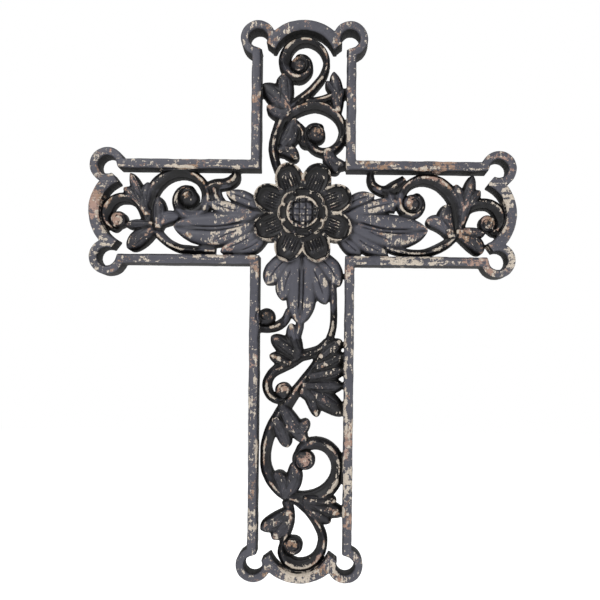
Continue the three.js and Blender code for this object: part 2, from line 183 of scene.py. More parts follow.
def shapeFront(piece, middle, halfSize, chamfer, flare):
    # softens the front edge of a solid, or opens out the mouth of a cutter
    if not chamfer and not flare:
        return
    pickFront(piece)
    if chamfer:
        bpy.ops.mesh.bevel(offset=chamfer * mm, segments=3, affect="EDGES")
    if flare:
        bpy.ops.mesh.extrude_region_move(TRANSFORM_OT_translate={"value": (0, -flare * mm, 0)})
        grow = [(half + flare) / half for half in halfSize]
        bpy.ops.transform.resize(value=(grow[0], 1, grow[1]), center_override=middle)
    bpy.ops.object.mode_set(mode="OBJECT")


def addBar(xs, zs, low, high, chamfer=0, flare=0):
    middle = (sum(xs) / 2 * mm, -(low + high) / 2 * mm, sum(zs) / 2 * mm)
    size = ((xs[1] - xs[0]) * mm, (high - low) * mm, (zs[1] - zs[0]) * mm)
    deselectAll()
    bpy.ops.mesh.primitive_cube_add(size=1, location=middle, scale=size)
    bar = bpy.context.object
    finishPlace(bar)
    shapeFront(bar, middle, ((xs[1] - xs[0]) / 2, (zs[1] - zs[0]) / 2), chamfer, flare)
    return bar


def addDisc(at, radius, low, high, chamfer=0, flare=0, sides=72):
    middle = (at[0] * mm, -(low + high) / 2 * mm, at[1] * mm)
    deselectAll()
    bpy.ops.mesh.primitive_cylinder_add(
        vertices=sides, radius=radius * mm, depth=(high - low) * mm, location=middle,
        rotation=(math.pi / 2, 0, 0),
    )
    disc = bpy.context.object
    finishPlace(disc)
    shapeFront(disc, middle, (radius, radius), chamfer, flare)
    return disc


def addSkin(name, rings):
    # a closed skin over rings of points in millimetres, for forms that follow a free line
    rings = np.array(rings, float)
    steps, count = rings.shape[:2]
    faces = [
        (r * count + i, r * count + (i + 1) % count, (r + 1) * count + (i + 1) % count, (r + 1) * count + i)
        for r in range(steps - 1) for i in range(count)
    ]
    faces.append(tuple(reversed(range(count))))
    faces.append(tuple((steps - 1) * count + i for i in range(count)))
    mesh = bpy.data.meshes.new(name)
    mesh.from_pydata((rings.reshape(-1, 3) * mm).tolist(), [], faces)
    piece = bpy.data.objects.new(name, mesh)
    bpy.context.scene.collection.objects.link(piece)
    return piece


def joinPieces(pieces, name):
    deselectAll()
    for piece in pieces:
        piece.select_set(True)
    bpy.context.view_layer.objects.active = pieces[0]
    bpy.ops.object.join()
    pieces[0].name = name
    return pieces[0]


def combine(pieces, operation):
    # takes the later pieces into, or out of, the first
    first = pieces[0]
    for other in pieces[1:]:
        applyModifier(first, "BOOLEAN", object=other, operation=operation, solver="MANIFOLD")
        bpy.data.objects.remove(other, do_unlink=True)
    return first


# Frame: one moulding round the four arms, lobed at each end

def turned(place, quarters):
    x, z = place
    for _ in range(quarters):
        x, z = z, -x
    return x, z


def addThroat(side, reach, quarters):
    # the opening by which a lobe's bore runs into the window, under the cusp
    def boreEdge(degrees):
        a = math.radians(degrees)
        return (board["lobeSpread"] + board["lobeBore"] * math.cos(a),
                reach - board["lobeInset"] + board["lobeBore"] * math.sin(a))

    cuspLine = reach - board["cuspInset"]
    cuspEdge, railEdge = [boreEdge(degrees) for degrees in board["throatEdge"]]
    outline = [(board["cuspSpread"], cuspLine), cuspEdge, railEdge, (windowHalf, cuspLine)]
    corners = [turned((side * x, z), quarters) for x, z in outline]
    if side > 0:
        corners.reverse()
    rings = [[(x, -height, z) for x, z in corners] for height in (-2, board["depth"] + 1)]
    return addSkin("throat", rings)


def buildFrame():
    half, depth, chamfer = board["armWidth"] / 2, board["depth"], board["edgeChamfer"]
    top, side, foot = board["topReach"], board["sideReach"], board["footReach"]
    lobeInset, cuspInset = board["lobeInset"], board["cuspInset"]
    cutter = {"low": -2, "high": depth - chamfer, "flare": chamfer + 1}
    bodies = [
        addBar((-half, half), (lobeInset - foot, top - lobeInset), 0, depth, chamfer),
        addBar((lobeInset - side, side - lobeInset), (-half, half), 0, depth, chamfer),
    ]
    cutters = [
        addBar((-windowHalf, windowHalf), (cuspInset - foot, top - cuspInset), **cutter),
        addBar((cuspInset - side, side - cuspInset), (-windowHalf, windowHalf), **cutter),
    ]
    for quarters, reach in enumerate((top, side, foot, side)):
        for hand in (-1, 1):
            lobe = turned((hand * board["lobeSpread"], reach - lobeInset), quarters)
            bodies.append(addDisc(lobe, board["lobeRadius"], 0, depth, chamfer))
            cutters.append(addDisc(lobe, board["lobeBore"], **cutter))
            cutters.append(addThroat(hand, reach, quarters))
        crest = turned((0, reach - board["crestRadius"]), quarters)
        bodies.append(addDisc(crest, board["crestRadius"], 0, depth, chamfer, sides=96))
        bore = turned((0, reach - board["crestWidth"] - board["crestBore"]), quarters)
        cutters.append(addDisc(bore, board["crestBore"], **cutter))
    moulding = combine([combine(bodies, "UNION"), combine(cutters, "UNION")], "DIFFERENCE")
    moulding.name = "moulding"
    return moulding


# Free lines: drawn in hundredths of the window's half width from the flower's centre

drawn = {"top": 450, "side": 500, "foot": 866}


def stretch(value, drawnReach, reach):
    inner = min(abs(value), 100)
    run = (reach - windowHalf) / (drawnReach - 100)
    return math.copysign(inner * windowHalf / 100 + (abs(value) - inner) * run, value)


def spot(place):
    x, z = place
    arm = "foot" if z < 0 else "top"
    return stretch(x, drawn["side"], board["sideReach"]), stretch(z, drawn[arm], board[arm + "Reach"])


def smoothLine(places, perSpan):
    # a centripetal curve through the places, and its share of the way from mark to mark
    p = np.array([spot(place) for place in places], float)
    p = np.vstack([2 * p[0] - p[1], p, 2 * p[-1] - p[-2]])
    line, share = [], []
    spans = len(p) - 3
    for i in range(spans):
        a, b, c, d = p[i:i + 4]
        da, db, dc = [max(math.sqrt(np.linalg.norm(v)), 1e-4) for v in (b - a, c - b, d - c)]
        leave = ((b - a) / da - (c - a) / (da + db) + (c - b) / db) * db
        arrive = ((c - b) / db - (d - b) / (db + dc) + (d - c) / dc) * db
        last = i == spans - 1
        for t in np.linspace(0, 1, perSpan + 1)[: None if last else -1]:
            line.append(b + leave * t + (3 * (c - b) - 2 * leave - arrive) * t ** 2
                        + (2 * (b - c) + leave + arrive) * t ** 3)
            share.append((i + t) / spans)
    return np.array(line), np.array(share)


def sectionRings(line, sections):
    # a section of [sideways, height] pairs stood across each point of a line
    along = np.gradient(line, axis=0)
    along /= np.linalg.norm(along, axis=1, keepdims=True)
    aside = np.stack([-along[:, 1], along[:, 0]], axis=1)
    rings = []
    for point, side, section in zip(line, aside, sections):
        rings.append([(point[0] + side[0] * s, -h, point[1] + side[1] * s) for s, h in section])
    return rings


def eased(t):
    return t * t * (3 - 2 * t)


def blendOf(values, t):
    place = t * (len(values) - 1)
    i = min(int(place), len(values) - 2)
    return values[i] + (values[i + 1] - values[i]) * eased(place - i)


# Scrolls: ridged ribbons that curl up into round knobs

scroll = {
    "ridgeHeight": 19, "shoulder": 13.6, "samples": 17, "spanPoints": 7,
    # shares of the way from the ridge to the edge: hollow flank, bead along the rim, worn shoulder
    "flankCurve": 1.1, "flankDip": 0.14, "rimBead": 0.13, "beadAt": 0.84, "beadWidth": 0.1,
    "rounding": 1.6, "wornFrom": 0.88, "wornOver": 0.12,
    # how volutes are drawn: degrees between points, and how they wrap on round a knob
    "pointStep": 34, "wrapReach": 1.75, "wrapClosing": 0.7,
    "knobHeight": 21, "knobRim": 0.6, "knobSwell": 1.07, "knobSides": 40,
    "endShare": 0.98, "endLift": 0.8, "endChamfer": 1.2,
}

stems = [
    # top arm, great volute
    {
        "lead": [[-44, 242], [-17, 267], [9, 287], [29, 308]],
        "volute": {"at": [-2, 358], "radius": [54, 34], "start": -29, "turn": 280, "tighten": 2.5},
        "halfWidths": [5.2, 4.2, 3.6, 7.2, 6.2, 5.4], "ridge": -0.3,
        "knob": {"at": [-12, 352], "radius": 8.6, "wrap": 180},
    },
    # top arm, second volute
    {
        "lead": [[-47, 226], [-21, 244], [0, 253], [23, 258]],
        "volute": {"at": [40, 186], "radius": [68, 29], "start": 85, "turn": -243, "tighten": 0.83},
        "halfWidths": [5.8, 5.9, 5, 4.6, 5.8, 5.4], "ridge": 0.3,
        "knob": {"at": [30, 188], "radius": 9, "wrap": -150},
    },
    # top arm, trunk down to the flower
    {
        "lead": [[-42, 246], [-60, 205], [-70, 168], [-71, 145], [-66, 121], [-57, 98], [-36, 62]],
        "halfWidths": [6, 5.6, 5, 5],
    },
    # left arm, small volute at the end
    {
        "lead": [[-362, -28], [-370, -19], [-379, 4], [-392, 23]],
        "volute": {"at": [-430, -15], "radius": [52, 23], "start": 70, "turn": 156, "tighten": 1.16},
        "halfWidths": [4.4, 4.6, 5.6, 7, 6.6], "ridge": -0.3,
        "knob": {"at": [-434, -17], "radius": 8.4},
    },
    # left arm, great volute
    {
        "lead": [[-206, -88], [-262, -86], [-290, -83], [-316, -71], [-340, -50], [-358, -20]],
        "volute": {"at": [-276, 26], "radius": [93, 26], "start": -165, "turn": -300, "tighten": 0.92},
        "halfWidths": [4.4, 4.8, 7.4, 5.4, 7, 6.8, 6], "ridge": 0.3,
        "knob": {"at": [-268, 36], "radius": 9.4, "wrap": -160},
    },
    # left arm, hook above the leaf
    {
        "lead": [[-230, 58], [-208, 68], [-186, 70], [-168, 77], [-160, 90], [-162, 108]],
        "halfWidths": [6, 6.4, 6.4, 3.6],
    },
    # right arm, small volute at the end
    {
        "lead": [[370, -40], [379, -9], [388, 13]],
        "volute": {"at": [432, -24], "radius": [56, 23], "start": 116, "turn": -140, "tighten": 1.49},
        "halfWidths": [3.8, 4.8, 6, 7, 6.8], "ridge": 0.3,
        "knob": {"at": [434, -18], "radius": 8.6},
    },
    # right arm, great volute
    {
        "lead": [[198, -76], [226, -85], [257, -90], [287, -89], [315, -79], [340, -65], [359, -44]],
        "volute": {"at": [268, 19], "radius": [107, 22], "start": -22, "turn": 242, "tighten": 0.86},
        "halfWidths": [4.4, 4.6, 5.4, 7.6, 5, 6.4, 6.2, 5.8], "ridge": -0.3,
        "knob": {"at": [258, 27], "radius": 9.4, "wrap": 160},
    },
    # right arm, hook above the leaf
    {
        "lead": [[240, 84], [218, 69], [197, 57], [176, 61], [162, 73], [158, 89], [160, 106]],
        "halfWidths": [5.6, 7, 5, 4.6, 3.2],
    },
    # foot, hook beside the great leaf
    {
        "lead": [[-30, -226], [-40, -250], [-58, -264], [-80, -269], [-100, -268]],
        "halfWidths": [4, 5.2, 5.2],
        "knob": {"at": [-84, -243], "radius": 9},
    },
    # foot, main stem and great volute
    {
        "lead": [
            [72, -160], [74, -203], [75, -238], [73, -268], [64, -298], [50, -326], [32, -357],
            [13, -385], [-10, -415], [-30, -443], [-49, -471], [-68, -504], [-79, -537], [-83, -570],
        ],
        "volute": {"at": [22, -585], "radius": [103, 30], "start": -169, "turn": 312, "tighten": 1.07},
        "halfWidths": [4, 4, 4.4, 5.2, 6.2, 7.4, 7, 5.8, 6.8, 8.4, 7.6, 7, 6.8, 6.6, 5.6], "ridge": -0.25,
        "knob": {"at": [12, -580], "radius": 10, "wrap": 90},
    },
    # foot, branch with a small volute
    {
        "lead": [[60, -300], [41, -319], [17, -329], [-3, -334], [-22, -346]],
        "volute": {"at": [-46, -412], "radius": [52, 23], "start": 91, "turn": 200, "tighten": 0.62},
        "halfWidths": [4.4, 6.6, 7.4, 5, 5.2, 5.4],
        "knob": {"at": [-42, -415], "radius": 8.4},
    },
    # foot, link between the two lowest volutes
    {
        "lead": [[-32, -676], [-24, -706], [-24, -732], [-32, -755], [-37, -778]],
        "halfWidths": [5.4, 5, 5.4],
    },
    # foot, lowest volute
    {
        "lead": [[-12, -672], [4, -686], [19, -699]],
        "volute": {"at": [-10, -783], "radius": [75, 25], "start": 50, "turn": -243, "tighten": 0.91},
        "halfWidths": [5, 5, 5, 6, 7, 6.4, 5.6], "ridge": 0.3,
        "knob": {"at": [-15, -782], "radius": 9.6},
    },
    # short necks between the carving's parts
    {"lead": [[5, 266], [41, 271], [72, 283]], "halfWidths": [4, 4, 4.4]},
    {"lead": [[-20, 214], [-4, 194], [0, 170], [16, 166]], "halfWidths": [4.4, 5.4, 5.4, 5]},
    {"lead": [[-4, -240], [-6, -268], [-14, -294]], "halfWidths": [4.6, 4.2, 5]},
    {"lead": [[-212, 60], [-203, 36], [-180, 6]], "halfWidths": [6.4, 6.4, 6]},
    {"lead": [[197, 60], [207, 36], [205, 8]], "halfWidths": [6.4, 7, 6]},
    {"lead": [[-360, 4], [-358, -26], [-346, -48]], "halfWidths": [5.4, 5.4, 5]},
]


def roundPoint(centre, r, a):
    return [centre[0] + r * math.cos(a), centre[1] + r * math.sin(a)]


def volutePoints(curl):
    steps = round(abs(curl["turn"]) / scroll["pointStep"])
    outer, inner = curl["radius"]
    points = []
    for i in range(steps + 1):
        t = i / steps
        r = outer + (inner - outer) * t ** curl["tighten"]
        points.append(roundPoint(curl["at"], r, math.radians(curl["start"] + curl["turn"] * t)))
    return points


def wrapPoints(start, knob):
    # goes on from a volute's end round its knob, closing in on it
    reach = math.dist(start, knob["at"])
    angle = math.atan2(start[1] - knob["at"][1], start[0] - knob["at"][0])
    steps = round(abs(knob["wrap"]) / scroll["pointStep"])
    points = []
    for i in range(1, steps + 1):
        t = i / steps
        r = reach + (knob["radius"] * scroll["wrapReach"] - reach) * t ** scroll["wrapClosing"]
        points.append(roundPoint(knob["at"], r, angle + math.radians(knob["wrap"]) * t))
    return points


def ribbonSection(halfWidth, ridge):
    section = [(halfWidth, 0)]
    for s in np.linspace(1, -1, scroll["samples"]):
        u = abs(s - ridge) / (1 - ridge if s > ridge else 1 + ridge)
        rise = (1 - u) ** scroll["flankCurve"] - scroll["flankDip"] * math.sin(math.pi * u)
        rise += scroll["rimBead"] * math.exp(-((u - scroll["beadAt"]) / scroll["beadWidth"]) ** 2)
        worn = scroll["rounding"] * max(0, (u - scroll["wornFrom"]) / scroll["wornOver"]) ** 2
        height = scroll["shoulder"] + (scroll["ridgeHeight"] - scroll["shoulder"]) * rise - worn
        section.append((halfWidth * s, height))
    section.append((-halfWidth, 0))
    return section


def addStem(stem):
    marks = stem["lead"] + (volutePoints(stem["volute"]) if "volute" in stem else [])
    if "wrap" in stem.get("knob", {}):
        marks = marks + wrapPoints(marks[-1], stem["knob"])
    line, share = smoothLine(marks, scroll["spanPoints"])
    ridge = stem.get("ridge", 0)
    sections = [ribbonSection(blendOf(stem["halfWidths"], t), ridge) for t in share]
    made = [addSkin("ribbon", sectionRings(line, sections))]
    if "knob" in stem:
        made += addCurlEnd(line[-1], stem["halfWidths"][-1], ridge, stem["knob"])
    return made


def addCurlEnd(start, halfWidth, ridge, knob):
    # the ribbon's rounded end, a neck into the knob, whose ridge comes to the middle, and the knob
    at = np.array(spot(knob["at"]))
    height = scroll["shoulder"] + scroll["endLift"]
    cap = addDisc(start, halfWidth * scroll["endShare"], 0, height, scroll["endChamfer"], sides=32)
    line = np.array([start + (at - start) * t for t in (0, 0.35, 0.7, 1)])
    sections = [ribbonSection(halfWidth, ridge * (1 - i / 3)) for i in range(4)]
    neck = addSkin("neck", sectionRings(line, sections))
    return [cap, neck] + addKnob(at, knob["radius"] * scroll["knobSwell"])


def addKnob(at, radius):
    side = scroll["knobRim"] * scroll["knobHeight"]
    post = addDisc(at, radius, 0, side, sides=scroll["knobSides"])
    deselectAll()
    bpy.ops.mesh.primitive_uv_sphere_add(
        segments=scroll["knobSides"], ring_count=24, radius=radius * mm,
        location=(at[0] * mm, -side * mm, at[1] * mm),
        scale=(1, (scroll["knobHeight"] - side) / radius, 1),
    )
    dome = bpy.context.object
    finishPlace(dome)
    return [post, dome]


# Leaves: fans of blades, each given as its base, bend, tip and half width

leaf = {
    "crown": 21, "rib": 17.6, "edge": 14.2, "tipDrop": 3.2,
    "samples": 19, "rings": 30, "crowding": 1.6, "spanPoints": 12, "flankCurve": 2.2, "ribCurve": 1.6,
    "broad": {"base": 0.55, "widest": 0.55, "point": 0.6, "ribbed": True, "tone": 1.0},
    "lobe": {"base": 0.55, "widest": 0.55, "point": 0.6, "ribbed": False, "fullness": 3.6},
    "bud": {"base": 0.5, "widest": 0.5, "point": 0.42, "ribbed": False, "fullness": 2.6, "tone": 0.3},
    "finger": {"base": 0.6, "widest": 0.5, "point": 0.5, "ribbed": False, "fullness": 1.7, "tone": 0.14},
}

leaves = [
    # top arm
    {"form": "bud", "blades": [
        [[-36, 236], [-62, 274], [-96, 304], 11.5],
        [[-44, 250], [-46, 298], [-50, 329], 10],
        [[-34, 234], [-60, 240], [-88, 252], 8],
    ]},
    {"form": "bud", "blades": [
        [[-50, 158], [-34, 180], [-20, 224], 9.5],
        [[-58, 146], [-38, 150], [-14, 127], 8.4],
    ]},
    {"form": "bud", "blades": [
        [[80, 240], [77, 284], [69, 334], 7.8],
        [[78, 262], [86, 282], [98, 294], 5.4],
        [[76, 280], [62, 300], [51, 312], 4.6],
    ]},
    {"form": "bud", "blades": [
        [[56, 152], [64, 124], [80, 96], 8.4],
        [[60, 134], [78, 120], [101, 114], 6],
    ]},
    # left arm
    {"form": "broad", "blades": [
        [[-90, -12], [-195, -36], [-304, -33], 19],
        [[-123, -30], [-174, -50], [-224, -73], 9.5],
        [[-100, -44], [-146, -70], [-193, -92], 9],
        [[-86, -52], [-118, -78], [-164, -95], 8],
        [[-120, -2], [-178, 10], [-222, 24], 8.5],
        [[-95, 12], [-138, 34], [-181, 48], 8.5],
    ]},
    {"form": "bud", "blades": [
        [[-366, -8], [-384, 37], [-406, 92], 7.4],
        [[-372, 12], [-396, 40], [-422, 56], 7.4],
        [[-372, 14], [-370, 44], [-364, 70], 7.4],
    ]},
    {"form": "bud", "blades": [
        [[-352, -42], [-386, -62], [-412, -86], 10],
        [[-352, -28], [-386, -28], [-419, -30], 5.6],
    ]},
    {"form": "bud", "blades": [
        [[-340, -38], [-338, -6], [-340, 37], 7.8],
        [[-334, -26], [-318, -12], [-292, -9], 7.6],
    ]},
    # right arm
    {"form": "broad", "blades": [
        [[90, -12], [190, -38], [294, -37], 19],
        [[110, -2], [176, 18], [226, 30], 9],
        [[90, 10], [130, 34], [168, 44], 8.5],
        [[128, -28], [175, -50], [228, -70], 9.5],
        [[104, -42], [152, -74], [202, -98], 9],
        [[84, -50], [112, -76], [137, -96], 8.5],
    ]},
    {"form": "bud", "blades": [
        [[372, -20], [388, 47], [398, 93], 7.6],
        [[376, 8], [368, 44], [358, 72], 7.2],
        [[376, 10], [398, 40], [416, 58], 7],
    ]},
    {"form": "bud", "blades": [
        [[368, -46], [404, -66], [422, -90], 9.4],
        [[360, -40], [396, -42], [429, -40], 7],
    ]},
    {"form": "bud", "blades": [
        [[350, -52], [334, -14], [340, 25], 9.4],
        [[346, -44], [320, -18], [290, -14], 8.4],
    ]},
    # foot, great leaf under the flower
    {"form": "broad", "blades": [
        [[-1, -80], [-2, -180], [-5, -259], 17],
        [[-12, -100], [-36, -158], [-48, -203], 11.5],
        [[-22, -90], [-60, -130], [-86, -166], 12],
        [[10, -100], [38, -158], [56, -211], 12],
        [[20, -90], [62, -124], [88, -168], 11.5],
    ]},
    # foot, leaf on the branch
    {"form": "finger", "blades": [
        [[-4, -340], [-36, -314], [-72, -288], 10.5],
        [[-6, -330], [-18, -298], [-26, -258], 8.5],
        [[-24, -352], [-52, -342], [-76, -332], 7],
    ]},
    # foot, feathered leaf towards the right rail
    {"form": "finger", "blades": [
        [[44, -338], [72, -316], [94, -296], 9],
        [[34, -362], [70, -346], [103, -330], 9.5],
        [[18, -384], [62, -374], [105, -364], 10],
        [[4, -404], [52, -404], [100, -404], 10],
        [[0, -414], [54, -436], [102, -472], 12],
        [[8, -408], [28, -440], [38, -478], 8],
    ]},
    # foot, leaf inside the main stem's bend
    {"form": "bud", "blades": [
        [[-46, -450], [-16, -500], [12, -536], 9.5],
        [[-34, -500], [-4, -508], [17, -484], 8.4],
        [[-62, -480], [-42, -516], [-30, -550], 8.6],
    ]},
    {"form": "bud", "blades": [
        [[-40, -668], [-16, -630], [-14, -586], 9.4],
        [[-36, -660], [-44, -628], [-60, -608], 8],
    ]},
    # foot, leaf and fan beside the lowest volute
    {"form": "bud", "blades": [
        [[-20, -698], [-56, -726], [-92, -742], 9.6],
        [[-22, -708], [-44, -742], [-64, -766], 9],
    ]},
    {"form": "finger", "blades": [
        [[8, -672], [50, -676], [86, -674], 8],
        [[8, -676], [56, -692], [105, -706], 9.6],
        [[10, -682], [42, -706], [72, -726], 9],
    ]},
]


def bladeShare(t, form):
    if t < form["widest"]:
        return form["base"] + (1 - form["base"]) * math.sin(math.pi / 2 * t / form["widest"])
    q = (t - form["widest"]) / (1 - form["widest"])
    return max((1 - q * q) ** form["point"], 0.03)


def bladeSection(halfWidth, t, form):
    drop = leaf["tipDrop"] * t ** 3
    section = [(halfWidth, 0)]
    for s in np.linspace(1, -1, leaf["samples"]):
        a = abs(s)
        if not form["ribbed"]:
            height = leaf["edge"] + (leaf["crown"] - leaf["edge"]) * (1 - a ** form["fullness"])
        elif a > 0.5:
            height = leaf["edge"] + (leaf["crown"] - leaf["edge"]) * (1 - (2 * a - 1) ** leaf["flankCurve"])
        else:
            height = leaf["crown"] - (leaf["crown"] - leaf["rib"]) * (1 - 2 * a) ** leaf["ribCurve"]
        section.append((halfWidth * s, height - drop))
    section.append((-halfWidth, 0))
    return section


def bladeLine(blade):
    return smoothLine(blade[:3], leaf["spanPoints"])


def addBlade(blade, form):
    line, _ = bladeLine(blade)
    ts = 1 - (1 - np.linspace(0, 1, leaf["rings"])) ** leaf["crowding"]  # rings crowd towards the tip
    at = ts * (len(line) - 1)
    spread = [np.interp(at, range(len(line)), line[:, axis]) for axis in (0, 1)]
    sections = [bladeSection(blade[3] * bladeShare(t, form), t, form) for t in ts]
    return addSkin("blade", sectionRings(np.stack(spread, axis=1), sections))


# Flower: cupped petals, a ring of small ones inside, and a ringed button cut in a waffle

flower = {
    "petals": 8, "outline": {"base": 0.4, "widest": 0.58, "point": 0.5},
    "outer": {"from": 13, "reach": 56, "halfWidth": 15.6, "rim": 28, "cup": 20.5, "lip": 4.2},
    "inner": {"from": 12, "reach": 26.8, "halfWidth": 9.8, "rim": 27.2, "cup": 22.5, "lip": 2.6},
    "rings": 34, "samples": 25, "crowding": 1.8, "riseFrom": 0.3, "riseOver": 0.3,
    "tipLip": 0.9, "lipRounding": 1.1, "rootLift": 1.2,
    "button": 17.4, "buttonRing": 2, "buttonHeight": 28.5, "buttonChamfer": 0.8, "sink": 1.2,
    "grooveHalf": 0.8, "grooveDepth": 1.9, "pitch": 6.8, "grooveEnd": 0.8, "softEdge": 0.6,
    "flutePitch": 3.1, "fluteDepth": 1.5, "fluteFrom": 28, "fluteTo": 45, "fluteHalf": 9.5,
}


def addPetal(degrees, form):
    a = math.radians(degrees)
    out = np.array([math.sin(a), math.cos(a)])
    length = form["reach"] - form["from"]
    line, sections = [], []
    for t in 1 - (1 - np.linspace(0, 1, flower["rings"])) ** flower["crowding"]:
        w = form["halfWidth"] * bladeShare(t, flower["outline"])
        raised = eased(min(max((t - flower["riseFrom"]) / flower["riseOver"], 0), 1))
        root = form["cup"] + flower["rootLift"] * (1 - t)
        section = [(w, 0)]
        for s in np.linspace(1, -1, flower["samples"]):
            inside = min((1 - abs(s)) * w, (1 - t) * length * flower["tipLip"]) / form["lip"]
            rounded = flower["lipRounding"] * max(0, 1 - inside * 4) ** 2
            height = form["rim"] - (form["rim"] - form["cup"]) * eased(min(inside, 1)) - rounded
            section.append((w * s, root + (height - root) * raised))
        section.append((-w, 0))
        line.append(out * (form["from"] + length * t))
        sections.append(section)
    return addSkin("petal", sectionRings(np.array(line), sections))


def buildFlower():
    between = 360 / flower["petals"]
    made = []
    for i in range(flower["petals"]):
        made.append(addPetal(between * (i + 0.5), flower["outer"]))
        made.append(addPetal(between * i, flower["inner"]))
    made.append(addDisc((0, 0), flower["button"], 0, flower["buttonHeight"], flower["buttonChamfer"]))
    return made


# The rough carving: all forms grown into one skin

skin = {
    "voxel": 0.75, "smoothing": 3, "triangles": 192000, "creaseAngle": 52, "planed": 0.45,
    "waviness": 0.28, "longWave": 13, "shortWave": 4.5, "calmRadius": 30,  # the flower has no waves
}


def buildRough():
    pieces = [buildFrame()]
    for stem in stems:
        pieces += addStem(stem)
    for fan in leaves:
        side = "lobe" if fan["form"] == "broad" else fan["form"]
        pieces.append(addBlade(fan["blades"][0], leaf[fan["form"]]))
        pieces += [addBlade(blade, leaf[side]) for blade in fan["blades"][1:]]
    pieces += buildFlower()
    print("rough forms:", len(pieces))
    cross = joinPieces(pieces, "carvedCross")
    applyModifier(cross, "REMESH", mode="VOXEL", voxel_size=skin["voxel"] * mm)
    applyModifier(cross, "SMOOTH", factor=0.5, iterations=skin["smoothing"])
    print("one skin:", len(cross.data.vertices), "points")
    return cross


cross = buildRough()


# Fine carving: points of the skin pushed in along grooves, in millimetres from the flower's centre

def readPoints(piece):
    mesh = piece.data
    flat = np.empty(len(mesh.vertices) * 3, np.float32)
    mesh.vertices.foreach_get("co", flat)
    points = flat.reshape(-1, 3).astype(float) / mm
    mesh.vertex_normals.foreach_get("vector", flat)
    return points, flat.reshape(-1, 3).astype(float)


def writePoints(piece, points):
    piece.data.vertices.foreach_set("co", (points * mm).astype(np.float32).ravel())
    piece.data.update()


def softNoise(x, z, pitch, seed):
    # smooth noise from 0 to 1 on a seeded lattice of that pitch
    size, offset = 131, 500.5
    lattice = np.random.default_rng(seed).random((size, size))
    u, v = x / pitch + offset, z / pitch + offset
    i, j = np.floor(u).astype(int), np.floor(v).astype(int)
    fu, fv = eased(u - i), eased(v - j)

    def knot(di, dj):
        return lattice[(i + di) % size, (j + dj) % size]

    low = knot(0, 0) * (1 - fu) + knot(1, 0) * fu
    high = knot(0, 1) * (1 - fu) + knot(1, 1) * fu
    return low * (1 - fv) + high * fv


def nearLine(x, z, line, reach):
    # indices of the points within reach of a line, how far each is, and its share of the way along
    low, high = line.min(0) - reach, line.max(0) + reach
    near = np.nonzero((x > low[0]) & (x < high[0]) & (z > low[1]) & (z < high[1]))[0]
    best = np.full(len(near), 1e9)
    along = np.zeros(len(near))
    p = np.stack([x[near], z[near]], axis=1)
    for k in range(len(line) - 1):
        a, d = line[k], line[k + 1] - line[k]
        t = np.clip(((p - a) @ d) / (d @ d), 0, 1)
        gap = np.linalg.norm(p - a - t[:, None] * d, axis=1)
        closer = gap < best
        best[closer] = gap[closer]
        along[closer] = (k + t[closer]) / (len(line) - 1)
    keep = best < reach
    return near[keep], best[keep], along[keep]


def ramp(values, over):
    return np.clip(values / over, 0, 1)


def groove(depth, x, z, line, cut):
    fadeIn, fadeOut, steepness = 0.08, 0.12, 1.4
    near, gap, along = nearLine(x, z, line, cut["halfWidth"] * 2)
    fade = ramp(along - cut["start"], fadeIn) * ramp(cut["stop"] - along, fadeOut)
    deep = cut["depth"] * np.exp(-(gap / cut["halfWidth"]) ** 2 * steepness) * fade
    depth[near] = np.maximum(depth[near], deep)


def offsetLine(line, by):
    along = np.gradient(line, axis=0)
    along /= np.linalg.norm(along, axis=1, keepdims=True)
    return line + by * np.stack([-along[:, 1], along[:, 0]], axis=1)


# each cut's half width and depth, and the shares of its line at which it starts and stops
cuts = {
    "rib": {"halfWidth": 0.95, "depth": 1.9, "start": 0.2, "stop": 0.86, "aside": 2.1},
    "lobeVein": {"halfWidth": 0.8, "depth": 1.5, "start": 0.25, "stop": 0.85},
    "budVein": {"halfWidth": 0.8, "depth": 0.9, "start": 0.12, "stop": 0.8, "asideShare": 0.42},
    "curl": {"halfWidth": 0.75, "depth": 1.5, "start": 0, "stop": 0.95, "turn": 5.2, "shrink": 0.75},
    "knobRing": {"halfWidth": 0.8, "depth": 2.4, "gap": 0.7},
}


def carveLeaves(depth, x, z):
    for fan in leaves:
        for i, blade in enumerate(fan["blades"]):
            line, _ = bladeLine(blade)
            if fan["form"] != "broad":
                for side in (-1, 1):
                    aside = blade[3] * cuts["budVein"]["asideShare"] * side
                    groove(depth, x, z, offsetLine(line, aside), cuts["budVein"])
            elif i == 0:
                for side in (-1, 1):
                    groove(depth, x, z, offsetLine(line, cuts["rib"]["aside"] * side), cuts["rib"])
            else:
                groove(depth, x, z, line, cuts["lobeVein"])


def carveKnobs(depth, x, z):
    # a ring cut round each knob, and a groove that curls in over it the way its volute turns
    ring, curl = cuts["knobRing"], cuts["curl"]
    for stem in stems:
        if "knob" in stem:
            at = spot(stem["knob"]["at"])
            radius = stem["knob"]["radius"] * scroll["knobSwell"]
            away = np.hypot(x - at[0], z - at[1]) - radius - ring["gap"]
            depth[:] = np.maximum(depth, ring["depth"] * np.exp(-(away / ring["halfWidth"]) ** 2))
            volute = stem.get("volute", {"start": 0, "turn": 0})
            start = math.radians(volute["start"] + volute["turn"])
            turn = math.copysign(curl["turn"], volute["turn"])
            line = np.array([
                roundPoint(at, radius * (1 - curl["shrink"] * t), start + turn * t)
                for t in np.linspace(0, 1, 26)
            ])
            groove(depth, x, z, line, curl)


def petalAngle(x, z):
    # the angle from the middle of the nearest great petal
    between = 2 * math.pi / flower["petals"]
    return (np.arctan2(x, z) % between) - between / 2


